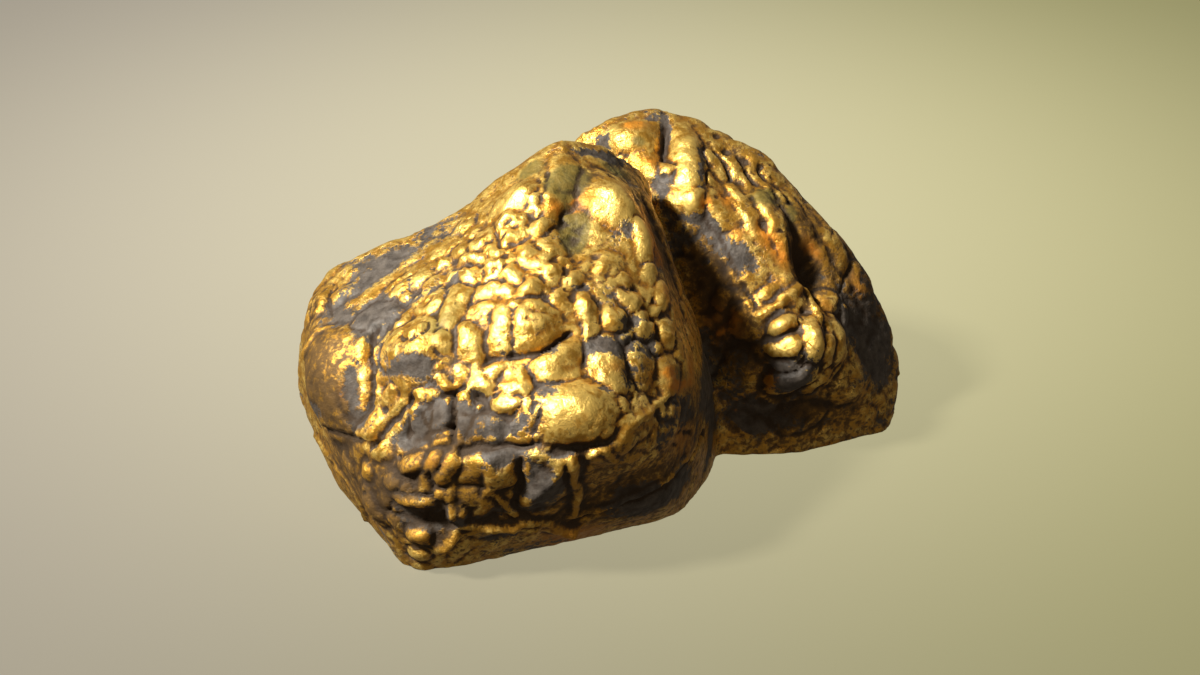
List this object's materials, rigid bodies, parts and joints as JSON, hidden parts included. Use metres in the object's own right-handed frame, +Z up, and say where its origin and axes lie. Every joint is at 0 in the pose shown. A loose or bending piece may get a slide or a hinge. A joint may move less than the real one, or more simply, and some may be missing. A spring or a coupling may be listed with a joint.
{
  "type": "gold ore lump",
  "caption": "Two-lobed lump of dark rock plated and veined with native gold, cobbled all over, resting on a flat broken face.",
  "frame": {"origin": "on the flat broken face that the lump rests on, under the middle of the front lobe", "axes": "+X along the lump, towards the smaller back lobe's end; +Y from the front face to the back; +Z up"},
  "size_m": [0.1266, 0.1116, 0.0723],
  "materials": {
    "gold_on_rock": "native gold over dark matrix rock, with iron stains"
  },
  "bodies": {
    "root": {"gold_ore": "gold_on_rock"}
  },
  "joints": []
}
